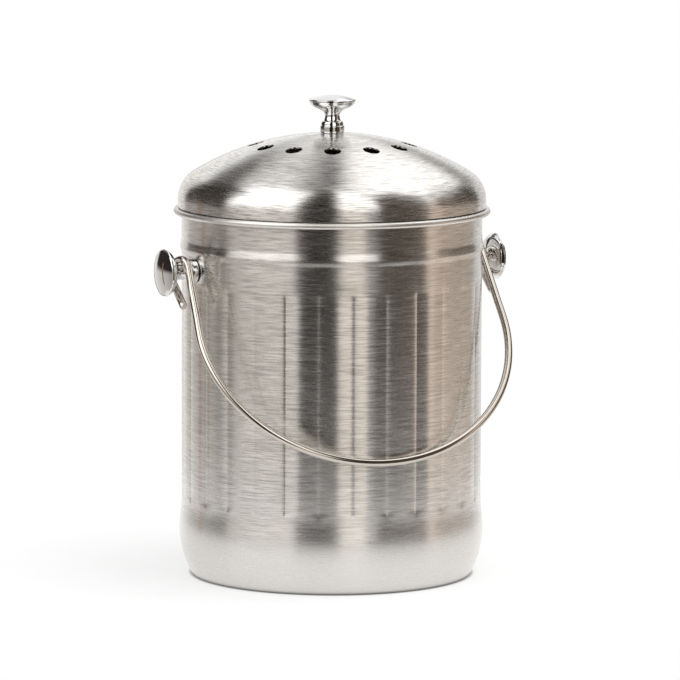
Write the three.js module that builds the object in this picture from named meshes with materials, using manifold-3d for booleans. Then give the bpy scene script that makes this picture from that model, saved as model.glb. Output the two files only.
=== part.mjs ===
// Compost pail: fluted steel body with a rolled rim, vented domed lid, charcoal filter and wire bail.
// Millimetres, +Z up, origin on the table under the middle of the pail.
// X runs along the side knobs, and the bail hangs in front, on -Y.
import * as THREE from 'three';
import { mergeVertices } from 'three/addons/utils/BufferGeometryUtils.js';
import Module from 'manifold-3d';

const wasm = await Module();
wasm.setup();

// Fits shared by all pieces
const SEAT_GAP = 0.3;
const OVERRUN = 5;

// Body: one drawn sheet
const BODY_RADIUS = 87.8;
const BODY_SHEET = 0.8;
const RIM_TOP = 215.65;
const RIM_HEIGHT = 3.5;
const RIM_OVERHANG = 4.7;
const RIM_CURL_GAP = 1.2;
const BASE_RISE = 2.6;
const BASE_SLOPE = 3;
const FOOT_LAND = 3.5;
const FOOT_INSET = 5.3;
const FOOT_STEP = 1.2;
const BULGE_SWELL = 1.35;
const BULGE_HEIGHT = 28.3;
const RIDGE_DROP = 22.7;
const RIDGE_DEPTH = 0.55;
const RIDGE_UPPER_FLANK = 5.3;
const RIDGE_LOWER_FLANK = 3.5;

// Flutes pressed into the body wall
const FLUTE_COUNT = 28;
const FLUTE_COLUMNS = 3;
const FLUTE_TOP_DROP = 40.5;
const FLUTE_BOTTOM = 45;
const FLUTE_FADE = 6;
const FLUTE_DEPTH = 0.5;
const FLUTE_PHASE_SHARE = 0.655;
const CREASE_WIDTH_SHARE = 1 / 3;

// Lid: a drawn dome with a plug ring under it
const LID_SHEET = 0.7;
const LID_OVERHANG = 2.2;
const LID_SKIRT = 4.7;
const LID_CROWN_RADIUS = 156;
const LID_CORNER_RADIUS = 18.5;
const LID_SEAT_MARGIN = 1.4;
const LID_COLUMNS = 48;
const VENT_COUNT = 12;
const VENT_RADIUS = 4.9;
const VENT_RING_RADIUS = 44.7;
const VENT_PHASE_SHARE = 0.16;
const PLUG_CLEARANCE = 2.2;
const PLUG_DEPTH = 12;

// Filter and the slotted cup that holds it
const HOLDER_WALL = 1.6;
const HOLDER_DEPTH = 10;
const HOLDER_FLANGE = 0.6;
const HOLDER_HUB_RADIUS = 19;
const HOLDER_RIM_WIDTH = 14;
const SLOT_COUNT = 16;
const SLOT_WIDTH = 7;
const FILTER_THICKNESS = 8;
const FILTER_CLEARANCE = 0.5;

// Knob, the same turned piece on the lid and on both sides
const KNOB_RADIUS = 13.7;
const KNOB_DOME = 2.4;
const KNOB_EDGE = 3;
const KNOB_EDGE_INSET = 0.6;
const KNOB_UNDERSIDE = 6.3;
const KNOB_NECK_RADIUS = 4.3;
const KNOB_NECK_LENGTH = 6.3;
const KNOB_COLLAR_RADIUS = 7.1;
const KNOB_COLLAR_HEIGHT = 4;
const KNOB_SHOULDER = 0.6;
const KNOB_BORE_DEPTH = 9;
const KNOB_DROP = 33.65;
const KNOB_COLUMNS = 20;

// Screw and washer behind each knob
const SCREW_RADIUS = 2;
const SCREW_HEAD_RADIUS = 3.8;
const SCREW_HEAD_HEIGHT = 2.2;
const SCREW_HEAD_CHAMFER = 0.7;
const WASHER_RADIUS = 6;
const WASHER_THICKNESS = 1;
const HARDWARE_COLUMNS = 12;

// Bail: one bent wire with an open eye at each end
const WIRE_RADIUS = 2.25;
const BAIL_HAND_ROOM = 36.4;
const BAIL_LEG = 50;
const BAIL_SPREAD = 2.7;
const BAIL_LEAN = 7.2;
const EYE_CLEARANCE = 0.65;
const EYE_SIDE_GAP = 0.7;
const EYE_COIL_GAP = 0.2;
const TAIL_LENGTH = 21;
const TAIL_LEAN = THREE.MathUtils.degToRad(11.5);

const TURN = 2 * Math.PI;
const QUARTER = Math.PI / 2;
const thirdShares = [1 / 3, 2 / 3];

// Heights and radii of the body
const knobAxisHeight = RIM_TOP - KNOB_DROP;
const fluteTop = RIM_TOP - FLUTE_TOP_DROP;
const ridgeHeight = RIM_TOP - RIDGE_DROP;
const innerRadius = BODY_RADIUS - BODY_SHEET;
const bulgeRadius = BODY_RADIUS + BULGE_SWELL;
const footRadius = BODY_RADIUS - FOOT_INSET;

// The lid's crown and corner are arcs that meet smoothly, over a straight skirt
const lidEdge = RIM_TOP + SEAT_GAP;
const lidRadius = BODY_RADIUS + LID_OVERHANG;
const cornerPlace = lidRadius - LID_CORNER_RADIUS;
const cornerHeight = lidEdge + LID_SKIRT;
const crownToCorner = LID_CROWN_RADIUS - LID_CORNER_RADIUS;
const crownMeeting = Math.acos(cornerPlace / crownToCorner);
const crownCentre = cornerHeight - crownToCorner * Math.sin(crownMeeting);
const lidSeatRadius = KNOB_COLLAR_RADIUS + LID_SEAT_MARGIN;
const crownEnd = Math.acos(lidSeatRadius / LID_CROWN_RADIUS);
const lidTop = crownCentre + LID_CROWN_RADIUS * Math.sin(crownEnd);

// The plug ring hangs inside the body, and the filter's cup inside the ring
const plugRadius = innerRadius - PLUG_CLEARANCE;
const plugBottom = lidEdge - PLUG_DEPTH;
const holderRadius = plugRadius - LID_SHEET - SEAT_GAP;
const holderFloor = plugBottom - SEAT_GAP;
const filterRadius = holderRadius - HOLDER_WALL - FILTER_CLEARANCE;

// Heights on a knob, from its own base
const knobNeckTop = KNOB_COLLAR_HEIGHT + KNOB_NECK_LENGTH;
const knobEdgeBottom = knobNeckTop + KNOB_UNDERSIDE;
const knobEdgeTop = knobEdgeBottom + KNOB_EDGE;
const knobHeight = knobEdgeTop + KNOB_DOME;

// Finishes
const brushedSteel = { color: 0xaaa39b, roughness: 0.38, metalness: 1 };
const polishedSteel = { color: 0xc9c8c6, roughness: 0.12, metalness: 1 };
const innerSteel = { color: 0x9c9a97, roughness: 0.45, metalness: 1 };
const zincSteel = { color: 0x8f9296, roughness: 0.35, metalness: 1 };
const blackPlastic = { color: 0x202224, roughness: 0.6, metalness: 0 };
const charcoalFelt = { color: 0x17181a, roughness: 0.95, metalness: 0 };

// Points on a circle in an outline, from one angle to another, ends included
function arcPoints(centreX, centreY, radius, from, to, steps) {
  const points = [];
  for (let i = 0; i <= steps; i += 1) {
    const angle = THREE.MathUtils.lerp(from, to, i / steps);
    points.push(new THREE.Vector2(centreX + radius * Math.cos(angle), centreY + radius * Math.sin(angle)));
  }
  return points;
}

// The line that lies one sheet thickness to the left of an open outline
function offsetLeft(points, thickness) {
  return points.map((point, i) => {
    const before = points[Math.max(i - 1, 0)];
    const after = points[Math.min(i + 1, points.length - 1)];
    const arriving = point.clone().sub(before).normalize();
    const leaving = after.clone().sub(point).normalize();
    if (i === 0) arriving.copy(leaving);
    if (i === points.length - 1) leaving.copy(arriving);
    const along = arriving.clone().add(leaving).normalize();
    const mitre = thickness / along.dot(arriving);
    return new THREE.Vector2(point.x - along.y * mitre, point.y + along.x * mitre);
  });
}

// A turned piece from an outline of radius and height, standing on the Z axis
function turned(outline, columns, phase = 0) {
  const geometry = new THREE.LatheGeometry(outline, columns, phase, TURN);
  geometry.rotateX(QUARTER);
  return geometry;
}

// A turned ring, whose outline closes on itself
function turnedRing(outline, columns) {
  return turned([...outline, outline[0].clone()], columns);
}

function toSolid(geometry) {
  const bare = geometry.clone();
  bare.deleteAttribute('normal');
  bare.deleteAttribute('uv');
  const merged = mergeVertices(bare);
  return new wasm.Manifold(new wasm.Mesh({
    numProp: 3,
    vertProperties: new Float32Array(merged.attributes.position.array),
    triVerts: new Uint32Array(merged.index.array),
  }));
}

function toGeometry(solid) {
  const mesh = solid.getMesh();
  const geometry = new THREE.BufferGeometry();
  geometry.setAttribute('position', new THREE.BufferAttribute(new Float32Array(mesh.vertProperties), 3));
  geometry.setIndex(new THREE.BufferAttribute(new Uint32Array(mesh.triVerts), 1));
  return geometry;
}

// A geometry with a list of others cut out of it
function cut(geometry, cutters) {
  const solid = cutters.reduce((left, cutter) => left.subtract(toSolid(cutter)), toSolid(geometry));
  return toGeometry(solid);
}

// A cylinder that stands on the Z axis between two heights
function cylinder(radius, from, to, sides = HARDWARE_COLUMNS) {
  const geometry = new THREE.CylinderGeometry(radius, radius, to - from, sides);
  geometry.rotateX(QUARTER);
  geometry.translate(0, 0, (from + to) / 2);
  return geometry;
}

// Outside of the body sheet, from under the middle of the base to the cut end of the rim's curl
function bodyOutline() {
  const landOuter = footRadius - FOOT_STEP;
  const landInner = landOuter - FOOT_LAND;
  const base = [
    new THREE.Vector2(0, BASE_RISE),
    new THREE.Vector2(landInner - BASE_SLOPE, BASE_RISE),
    new THREE.Vector2(landInner, 0),
    new THREE.Vector2(landOuter, 0),
  ];
  const rise = BULGE_HEIGHT - FOOT_STEP;
  const swell = bulgeRadius - footRadius;
  const cornerRadius = (rise * rise + swell * swell) / (2 * swell);
  const cornerFrom = -Math.asin(rise / cornerRadius);
  const corner = arcPoints(bulgeRadius - cornerRadius, BULGE_HEIGHT, cornerRadius, cornerFrom, 0, 4);
  const waist = thirdShares.map((share) => {
    const blend = (1 + Math.cos(Math.PI * share)) / 2;
    const radius = THREE.MathUtils.lerp(BODY_RADIUS, bulgeRadius, blend);
    return new THREE.Vector2(radius, THREE.MathUtils.lerp(BULGE_HEIGHT, FLUTE_BOTTOM, share));
  });
  const wall = [
    new THREE.Vector2(BODY_RADIUS, FLUTE_BOTTOM),
    new THREE.Vector2(BODY_RADIUS, FLUTE_BOTTOM + FLUTE_FADE),
    new THREE.Vector2(BODY_RADIUS, fluteTop - FLUTE_FADE),
    new THREE.Vector2(BODY_RADIUS, fluteTop),
    new THREE.Vector2(BODY_RADIUS, ridgeHeight - RIDGE_LOWER_FLANK),
    new THREE.Vector2(BODY_RADIUS + RIDGE_DEPTH, ridgeHeight),
    new THREE.Vector2(BODY_RADIUS, ridgeHeight + RIDGE_UPPER_FLANK),
  ];
  return [...base, ...corner, ...waist, ...wall, ...rimOutline()];
}

// Rolled rim: the sheet turns outward at the top, runs flat and curls down and back under itself
function rimOutline() {
  const rollRadius = RIM_HEIGHT / 2 - BODY_SHEET;
  const rollHeight = RIM_TOP - RIM_HEIGHT / 2;
  const outerCentre = BODY_RADIUS + RIM_OVERHANG - RIM_HEIGHT / 2;
  const inward = arcPoints(BODY_RADIUS + rollRadius, rollHeight, rollRadius, Math.PI, QUARTER, 2);
  const outward = arcPoints(outerCentre, rollHeight, rollRadius, QUARTER, -QUARTER, 3);
  const end = new THREE.Vector2(BODY_RADIUS + RIM_CURL_GAP, rollHeight - rollRadius);
  return [...inward, ...outward, end];
}

// How much of the flutes' depth a height has: none outside them, fading in at both ends
function fluteShareAt(height) {
  const fromEnd = Math.min(height - FLUTE_BOTTOM, fluteTop - height);
  return THREE.MathUtils.clamp(fromEnd / FLUTE_FADE, 0, 1);
}

// Creases pressed inward between slightly pillowed panels, round the wall
function pressFlutes(geometry) {
  const position = geometry.attributes.position;
  const pitch = TURN / FLUTE_COUNT;
  const point = new THREE.Vector3();
  for (let i = 0; i < position.count; i += 1) {
    point.fromBufferAttribute(position, i);
    const radius = Math.hypot(point.x, point.y);
    const pitches = Math.atan2(point.x, -point.y) / pitch - FLUTE_PHASE_SHARE;
    const distance = Math.abs(pitches - Math.round(pitches));
    const crease = Math.max(0, 1 - distance / CREASE_WIDTH_SHARE);
    const inside = radius > footRadius ? crease * fluteShareAt(point.z) * FLUTE_DEPTH : 0;
    const scale = radius > 0 ? (radius - inside) / radius : 1;
    position.setXYZ(i, point.x * scale, point.y * scale, point.z);
  }
}

function bodyGeometry() {
  const outside = bodyOutline();
  const inside = offsetLeft(outside, BODY_SHEET).reverse();
  const phase = FLUTE_PHASE_SHARE * TURN / FLUTE_COUNT;
  const geometry = turned([...outside, ...inside], FLUTE_COUNT * FLUTE_COLUMNS, phase);
  pressFlutes(geometry);
  const holes = [-1, 1].map((side) => {
    const hole = cylinder(SCREW_RADIUS + SEAT_GAP, innerRadius - OVERRUN, BODY_RADIUS + OVERRUN);
    hole.rotateY(side * QUARTER);
    hole.translate(0, 0, knobAxisHeight);
    return hole;
  });
  return cut(geometry, holes);
}

// Outside of the lid from its lower edge over corner and crown to the flat seat of the knob
function lidOutline() {
  const edge = new THREE.Vector2(lidRadius, lidEdge);
  const corner = arcPoints(cornerPlace, cornerHeight, LID_CORNER_RADIUS, 0, crownMeeting, 4);
  const crown = arcPoints(0, crownCentre, LID_CROWN_RADIUS, crownMeeting, crownEnd, 4);
  return [edge, ...corner, ...crown.slice(1), new THREE.Vector2(0, lidTop)];
}

function lidGeometry() {
  const outside = lidOutline();
  const inside = offsetLeft(outside, LID_SHEET).reverse();
  const shell = turned([...inside, ...outside], LID_COLUMNS);
  const cutters = [cylinder(SCREW_RADIUS + SEAT_GAP, lidEdge, lidTop + OVERRUN)];
  for (let i = 0; i < VENT_COUNT; i += 1) {
    const angle = (i + VENT_PHASE_SHARE) * TURN / VENT_COUNT;
    const vent = cylinder(VENT_RADIUS, lidEdge, lidTop + OVERRUN);
    vent.translate(VENT_RING_RADIUS * Math.cos(angle), VENT_RING_RADIUS * Math.sin(angle), 0);
    cutters.push(vent);
  }
  return cut(shell, cutters);
}

// Plug ring: a wall that enters the pail, a flange over the rim and a lip welded inside the lid
function plugGeometry() {
  const lipRadius = lidRadius - LID_SHEET - SEAT_GAP;
  const lipTop = cornerHeight - SEAT_GAP;
  const flangeTop = lidEdge + LID_SHEET;
  return turnedRing([
    new THREE.Vector2(plugRadius - LID_SHEET, plugBottom),
    new THREE.Vector2(plugRadius, plugBottom),
    new THREE.Vector2(plugRadius, lidEdge),
    new THREE.Vector2(lipRadius, lidEdge),
    new THREE.Vector2(lipRadius, lipTop),
    new THREE.Vector2(lipRadius - LID_SHEET, lipTop),
    new THREE.Vector2(lipRadius - LID_SHEET, flangeTop),
    new THREE.Vector2(plugRadius - LID_SHEET, flangeTop),
  ], LID_COLUMNS);
}

// Slotted cup that snaps up into the plug ring, its flange against the ring's lower edge
function holderGeometry() {
  const cup = turned([
    new THREE.Vector2(0, holderFloor - HOLDER_WALL),
    new THREE.Vector2(holderRadius + HOLDER_FLANGE, holderFloor - HOLDER_WALL),
    new THREE.Vector2(holderRadius + HOLDER_FLANGE, holderFloor),
    new THREE.Vector2(holderRadius, holderFloor),
    new THREE.Vector2(holderRadius, holderFloor + HOLDER_DEPTH),
    new THREE.Vector2(holderRadius - HOLDER_WALL, holderFloor + HOLDER_DEPTH),
    new THREE.Vector2(holderRadius - HOLDER_WALL, holderFloor),
    new THREE.Vector2(0, holderFloor),
  ], LID_COLUMNS);
  const slotLength = holderRadius - HOLDER_RIM_WIDTH - HOLDER_HUB_RADIUS;
  const slots = [];
  for (let i = 0; i < SLOT_COUNT; i += 1) {
    const length = i % 2 === 0 ? slotLength : slotLength / 2;
    const slot = new THREE.BoxGeometry(length, SLOT_WIDTH, HOLDER_WALL + OVERRUN);
    slot.translate(HOLDER_HUB_RADIUS + slotLength - length / 2, 0, holderFloor - HOLDER_WALL / 2);
    slot.rotateZ(i * TURN / SLOT_COUNT);
    slots.push(slot);
  }
  return cut(cup, slots);
}

function filterGeometry() {
  const base = holderFloor + SEAT_GAP;
  return cylinder(filterRadius, base, base + FILTER_THICKNESS, LID_COLUMNS);
}

// Knob outline: blind bore, collar, waisted neck, mushroom head
function knobOutline() {
  const boreRadius = SCREW_RADIUS + SEAT_GAP;
  const shoulderRadius = KNOB_COLLAR_RADIUS - KNOB_SHOULDER;
  const edgeRadius = KNOB_RADIUS - KNOB_EDGE_INSET;
  const flare = new THREE.QuadraticBezierCurve(
    new THREE.Vector2(shoulderRadius, KNOB_COLLAR_HEIGHT),
    new THREE.Vector2(KNOB_NECK_RADIUS, KNOB_COLLAR_HEIGHT + KNOB_NECK_LENGTH / 4),
    new THREE.Vector2(KNOB_NECK_RADIUS, knobNeckTop),
  );
  const underside = new THREE.QuadraticBezierCurve(
    new THREE.Vector2(KNOB_NECK_RADIUS, knobNeckTop),
    new THREE.Vector2(KNOB_NECK_RADIUS, knobEdgeBottom - KNOB_UNDERSIDE / 4),
    new THREE.Vector2(edgeRadius, knobEdgeBottom),
  );
  const domeRadius = (edgeRadius * edgeRadius + KNOB_DOME * KNOB_DOME) / (2 * KNOB_DOME);
  const domeFrom = Math.acos(edgeRadius / domeRadius);
  const dome = arcPoints(0, knobHeight - domeRadius, domeRadius, domeFrom, QUARTER, 3);
  dome[dome.length - 1].x = 0;
  return [
    new THREE.Vector2(0, KNOB_BORE_DEPTH),
    new THREE.Vector2(boreRadius, KNOB_BORE_DEPTH),
    new THREE.Vector2(boreRadius, 0),
    new THREE.Vector2(KNOB_COLLAR_RADIUS, 0),
    new THREE.Vector2(KNOB_COLLAR_RADIUS, KNOB_COLLAR_HEIGHT),
    ...flare.getPoints(3),
    ...underside.getPoints(3).slice(1),
    new THREE.Vector2(KNOB_RADIUS, (knobEdgeBottom + knobEdgeTop) / 2),
    ...dome,
  ];
}

function knobGeometry() {
  return turned(knobOutline(), KNOB_COLUMNS);
}

function washerGeometry() {
  const hole = SCREW_RADIUS + SEAT_GAP;
  return turnedRing([
    new THREE.Vector2(hole, 0),
    new THREE.Vector2(WASHER_RADIUS, 0),
    new THREE.Vector2(WASHER_RADIUS, WASHER_THICKNESS),
    new THREE.Vector2(hole, WASHER_THICKNESS),
  ], HARDWARE_COLUMNS);
}

// Pan-head screw, head down, with a shank of the given length above the head
function screwGeometry(shank) {
  return turned([
    new THREE.Vector2(0, 0),
    new THREE.Vector2(SCREW_HEAD_RADIUS - SCREW_HEAD_CHAMFER, 0),
    new THREE.Vector2(SCREW_HEAD_RADIUS, SCREW_HEAD_CHAMFER),
    new THREE.Vector2(SCREW_HEAD_RADIUS, SCREW_HEAD_HEIGHT),
    new THREE.Vector2(SCREW_RADIUS, SCREW_HEAD_HEIGHT),
    new THREE.Vector2(SCREW_RADIUS, SCREW_HEAD_HEIGHT + shank),
    new THREE.Vector2(0, SCREW_HEAD_HEIGHT + shank),
  ], HARDWARE_COLUMNS);
}

// Where a knob, its washer and its screw lie along their axis, through a sheet with these faces
function knobStack(innerFace, outerFace) {
  const knobBase = outerFace + SEAT_GAP;
  const washerBase = innerFace - SEAT_GAP - WASHER_THICKNESS;
  const screwBase = washerBase - SEAT_GAP - SCREW_HEAD_HEIGHT;
  const screwTip = knobBase + KNOB_BORE_DEPTH - SEAT_GAP;
  return { knobBase, washerBase, screwBase, shank: screwTip - screwBase - SCREW_HEAD_HEIGHT };
}

const sideStack = knobStack(Math.sqrt(innerRadius ** 2 - WASHER_RADIUS ** 2), BODY_RADIUS);
const lidStack = knobStack(lidTop - LID_SHEET, lidTop);
const lidKnobTop = lidStack.knobBase + knobHeight;

// A wire's centre line whose rings fall on its own points, so that a tight bend gets more of them
class WirePath extends THREE.CatmullRomCurve3 {
  getUtoTmapping(share) {
    return share;
  }
}

const eyeRadius = KNOB_NECK_RADIUS + WIRE_RADIUS + EYE_CLEARANCE;
const bailLength = lidKnobTop - knobAxisHeight + WIRE_RADIUS + BAIL_HAND_ROOM;

// One half of the wire's centre line, from the cut end of the tail to the lowest point of the bow.
// The side is -1 or 1. x runs along the knobs, y from the back of the eye to its front, z down the leg.
// The bow hangs a little to the left, as it was bent by hand.
function bailHalf(side) {
  const legPlace = sideStack.knobBase + KNOB_COLLAR_HEIGHT + EYE_SIDE_GAP + WIRE_RADIUS;
  const coil = 2 * WIRE_RADIUS + EYE_COIL_GAP;
  const eyeTurn = Math.PI + TAIL_LEAN;
  const onBow = (outward, down) => (
    new THREE.Vector3(side * outward - BAIL_LEAN * down / bailLength, eyeRadius, down)
  );
  const tail = [];
  const eye = [];
  for (let i = 0; i <= 12; i += 1) {
    const share = 1 - i / 12;
    const angle = share * eyeTurn;
    const outward = side * (legPlace + coil * share);
    eye.push(new THREE.Vector3(outward, eyeRadius * Math.cos(angle), -eyeRadius * Math.sin(angle)));
  }
  const along = new THREE.Vector3(0, Math.sin(TAIL_LEAN), Math.cos(TAIL_LEAN));
  for (const share of [0, ...thirdShares]) {
    tail.push(eye[0].clone().addScaledVector(along, TAIL_LENGTH * (1 - share)));
  }
  const widest = legPlace + BAIL_SPREAD;
  const leg = thirdShares.map((share) => onBow(legPlace + BAIL_SPREAD * share, BAIL_LEG * share));
  const bow = [];
  for (let i = 0; i <= 16; i += 1) {
    const angle = i / 16 * QUARTER;
    bow.push(onBow(widest * Math.cos(angle), BAIL_LEG + (bailLength - BAIL_LEG) * Math.sin(angle)));
  }
  return [...tail, ...eye, ...leg, ...bow];
}

// How far the bail tilts forward from hanging straight down, so that its wire just clears the wall
function bailTilt(points) {
  const lowest = knobAxisHeight - Math.sqrt(bailLength ** 2 - BODY_RADIUS ** 2);
  const restRadius = lowest > FLUTE_BOTTOM ? BODY_RADIUS : bulgeRadius;
  const reach = restRadius + WIRE_RADIUS + SEAT_GAP;
  const inFront = points.filter((point) => Math.abs(point.x) < reach);
  return Math.max(...inFront.map((point) => {
    const forward = Math.sqrt(reach ** 2 - point.x ** 2);
    return Math.asin(forward / Math.hypot(point.y, point.z)) - Math.atan2(point.y, point.z);
  }));
}

function bailGeometry() {
  const path = [...bailHalf(-1), ...bailHalf(1).reverse().slice(1)];
  const tilt = bailTilt(path);
  const sin = Math.sin(tilt);
  const cos = Math.cos(tilt);
  const points = path.map((point) => (
    new THREE.Vector3(point.x, -point.z * sin - point.y * cos, point.y * sin - point.z * cos)
  ));
  const section = new THREE.Shape().absarc(0, 0, WIRE_RADIUS, 0, TURN);
  return new THREE.ExtrudeGeometry(section, {
    steps: points.length - 1,
    curveSegments: 5,
    extrudePath: new WirePath(points, false, 'centripetal'),
  });
}

function piece(name, geometry, finish) {
  const bare = geometry.clone();
  bare.deleteAttribute('uv');
  bare.deleteAttribute('normal');
  const merged = mergeVertices(bare);
  merged.computeVertexNormals();
  const mesh = new THREE.Mesh(merged, new THREE.MeshStandardMaterial(finish));
  mesh.name = name;
  return mesh;
}

// A knob with its screw and washer, along one axis, in a group
function knobSet(names, stack) {
  const group = new THREE.Group();
  const knob = piece(names.knob, knobGeometry(), polishedSteel);
  knob.position.z = stack.knobBase;
  const washer = piece(names.washer, washerGeometry(), zincSteel);
  washer.position.z = stack.washerBase;
  const screw = piece(names.screw, screwGeometry(stack.shank), zincSteel);
  screw.position.z = stack.screwBase;
  group.add(knob, washer, screw);
  return group;
}

function sideKnobSet(prefix, side) {
  const names = { knob: `${prefix}_knob`, washer: `${prefix}_knob_washer`, screw: `${prefix}_knob_screw` };
  const group = knobSet(names, sideStack);
  group.rotation.y = side * QUARTER;
  group.position.z = knobAxisHeight;
  return group;
}

function pail() {
  const group = new THREE.Group();
  group.add(piece('pail_body', bodyGeometry(), brushedSteel));
  group.add(sideKnobSet('left', -1));
  group.add(sideKnobSet('right', 1));
  return group;
}

function bail() {
  const handle = piece('bail_handle', bailGeometry(), polishedSteel);
  handle.position.z = knobAxisHeight;
  return handle;
}

function lid() {
  const group = new THREE.Group();
  group.add(piece('lid_shell', lidGeometry(), brushedSteel));
  group.add(piece('lid_plug_ring', plugGeometry(), innerSteel));
  group.add(knobSet({ knob: 'lid_knob', washer: 'lid_knob_washer', screw: 'lid_knob_screw' }, lidStack));
  group.add(piece('filter_holder', holderGeometry(), blackPlastic));
  group.add(piece('charcoal_filter', filterGeometry(), charcoalFelt));
  return group;
}

const compostPail = new THREE.Group();
compostPail.add(pail(), bail(), lid());

export default compostPail;
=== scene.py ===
"""Looks of a countertop compost pail in brushed stainless steel.

Lengths in this file are in millimetres, and become metres where a mesh, a lamp or the camera is made.
Bearings are in degrees round the vertical axis, from -Y towards +X.
"""

import logging
import math
from dataclasses import dataclass, field
from enum import Enum
from typing import Any

import bpy
import numpy as np
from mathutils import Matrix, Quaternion, Vector


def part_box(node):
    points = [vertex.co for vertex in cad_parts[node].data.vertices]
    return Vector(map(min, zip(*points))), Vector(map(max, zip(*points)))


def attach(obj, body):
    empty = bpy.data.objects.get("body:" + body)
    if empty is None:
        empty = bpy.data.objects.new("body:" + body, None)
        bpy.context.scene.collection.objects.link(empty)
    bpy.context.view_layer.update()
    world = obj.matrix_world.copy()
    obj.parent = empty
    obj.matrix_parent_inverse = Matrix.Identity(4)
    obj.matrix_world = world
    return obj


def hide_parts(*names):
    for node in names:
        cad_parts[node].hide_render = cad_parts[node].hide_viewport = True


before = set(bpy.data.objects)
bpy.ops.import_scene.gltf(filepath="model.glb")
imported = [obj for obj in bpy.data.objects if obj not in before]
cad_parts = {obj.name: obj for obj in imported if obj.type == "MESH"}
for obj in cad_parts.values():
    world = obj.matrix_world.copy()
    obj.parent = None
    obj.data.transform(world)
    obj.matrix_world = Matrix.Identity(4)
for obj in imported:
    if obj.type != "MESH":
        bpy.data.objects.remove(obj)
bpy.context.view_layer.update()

LOG = logging.getLogger("compost_pail")
MILLIMETRE = 0.001
SEAT_GAP = 0.3
UV_NAME = "UVMap"
# Most values of a fractal noise lie in this range
NOISE_RANGE = (0.3, 0.7)
CLOUDS_PER_METRE = 60.0


class Axis(Enum):
    """Which way a turned piece points from the sheet that it is fixed to."""

    LEFT = "left"
    RIGHT = "right"
    UP = "up"


# ---- colours and nodes


def linear(code: str) -> tuple[float, float, float, float]:
    """Turns an sRGB hex colour into linear light.

    Args:
        code: six hex digits, such as "c9c8c6".

    Returns:
        Red, green, blue and alpha, where alpha is 1.
    """
    parts = np.array([int(code[i:i + 2], 16) for i in (0, 2, 4)]) / 255
    light = np.where(parts <= 0.04045, parts / 12.92, ((parts + 0.055) / 1.055) ** 2.4)
    return (float(light[0]), float(light[1]), float(light[2]), 1.0)


def add_node(
    tree: bpy.types.NodeTree, kind: str, settings: dict | None = None, inputs: dict | None = None
) -> bpy.types.Node:
    """Adds one node with its settings and its links.

    Args:
        tree: the node tree that gets the node.
        kind: the node's type name.
        settings: the node's own properties by name.
        inputs: what its input sockets get, by name or number: a value, or an output socket to link.

    Returns:
        The new node.
    """
    node = tree.nodes.new(kind)
    for name, value in (settings or {}).items():
        setattr(node, name, value)
    for name, value in (inputs or {}).items():
        if isinstance(value, bpy.types.NodeSocket):
            tree.links.new(value, node.inputs[name])
        else:
            node.inputs[name].default_value = value
    return node


def new_material(name: str) -> tuple[bpy.types.Material, bpy.types.NodeTree]:
    """Makes an empty node material and returns it with its tree."""
    material = bpy.data.materials.new(name)
    material.use_nodes = True
    material.node_tree.nodes.clear()
    return material, material.node_tree


def ramp(node: bpy.types.Node, stops: list[tuple[float, tuple[float, float, float, float]]]) -> None:
    """Gives a colour ramp node its stops.

    Args:
        node: a ShaderNodeValToRGB.
        stops: places from 0 to 1, each with its colour.
    """
    elements = node.color_ramp.elements
    while len(elements) > 1:
        elements.remove(elements[-1])
    elements[0].position, elements[0].color = stops[0]
    for place, colour in stops[1:]:
        elements.new(place).color = colour


def calculate(tree: bpy.types.NodeTree, operation: str, first: Any, second: Any) -> bpy.types.NodeSocket:
    """Joins two values, each a number or a socket, by one operation, and returns the result's socket."""
    return add_node(tree, "ShaderNodeMath", {"operation": operation}, {0: first, 1: second}).outputs[0]


def remap(
    tree: bpy.types.NodeTree, value: bpy.types.NodeSocket, low: float, high: float, source: tuple = (0.0, 1.0)
) -> bpy.types.NodeSocket:
    """Maps a value evenly from its source range to the range from low to high, and keeps it in there."""
    inputs = {"Value": value, "From Min": source[0], "From Max": source[1], "To Min": low, "To Max": high}
    return add_node(tree, "ShaderNodeMapRange", None, inputs).outputs[0]


def noise(
    tree: bpy.types.NodeTree, place: bpy.types.NodeSocket, scale: float, detail: float, roughness: float = 0.5
) -> bpy.types.NodeSocket:
    """Adds a fractal noise and returns the socket of its value, from 0 to 1."""
    inputs = {"Vector": place, "Scale": scale, "Detail": detail, "Roughness": roughness}
    return add_node(tree, "ShaderNodeTexNoise", None, inputs).outputs["Fac"]


def dress(tree: bpy.types.NodeTree, height: bpy.types.NodeSocket, depth: float, inputs: dict) -> None:
    """Ends a material with a Principled shader that has a bump.

    Args:
        tree: the material's node tree.
        height: what the bump follows, from 0 to 1.
        depth: how high the bump is.
        inputs: what the shader's other sockets get.
    """
    bump = add_node(
        tree, "ShaderNodeBump", None, {"Strength": 1.0, "Distance": depth * MILLIMETRE, "Height": height}
    )
    shader = add_node(tree, "ShaderNodeBsdfPrincipled", None, inputs | {"Normal": bump.outputs[0]})
    add_node(tree, "ShaderNodeOutputMaterial", None, {"Surface": shader.outputs[0]})


def blend(
    tree: bpy.types.NodeTree, share: bpy.types.NodeSocket, first: bpy.types.Node, second: bpy.types.Node
) -> None:
    """Ends a material with a mix of two shaders, the first where the share is 0, the second where it is 1."""
    mixed = add_node(tree, "ShaderNodeMixShader", None, {0: share, 1: first.outputs[0], 2: second.outputs[0]})
    add_node(tree, "ShaderNodeOutputMaterial", None, {"Surface": mixed.outputs[0]})


# ---- outlines


def quadratic(start: np.ndarray, pull: np.ndarray, end: np.ndarray, t: np.ndarray) -> np.ndarray:
    """Points of a quadratic Bezier curve at the shares t of its way from start to end, drawn towards pull."""
    return (1 - t) ** 2 * start + 2 * t * (1 - t) * pull + t ** 2 * end


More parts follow.
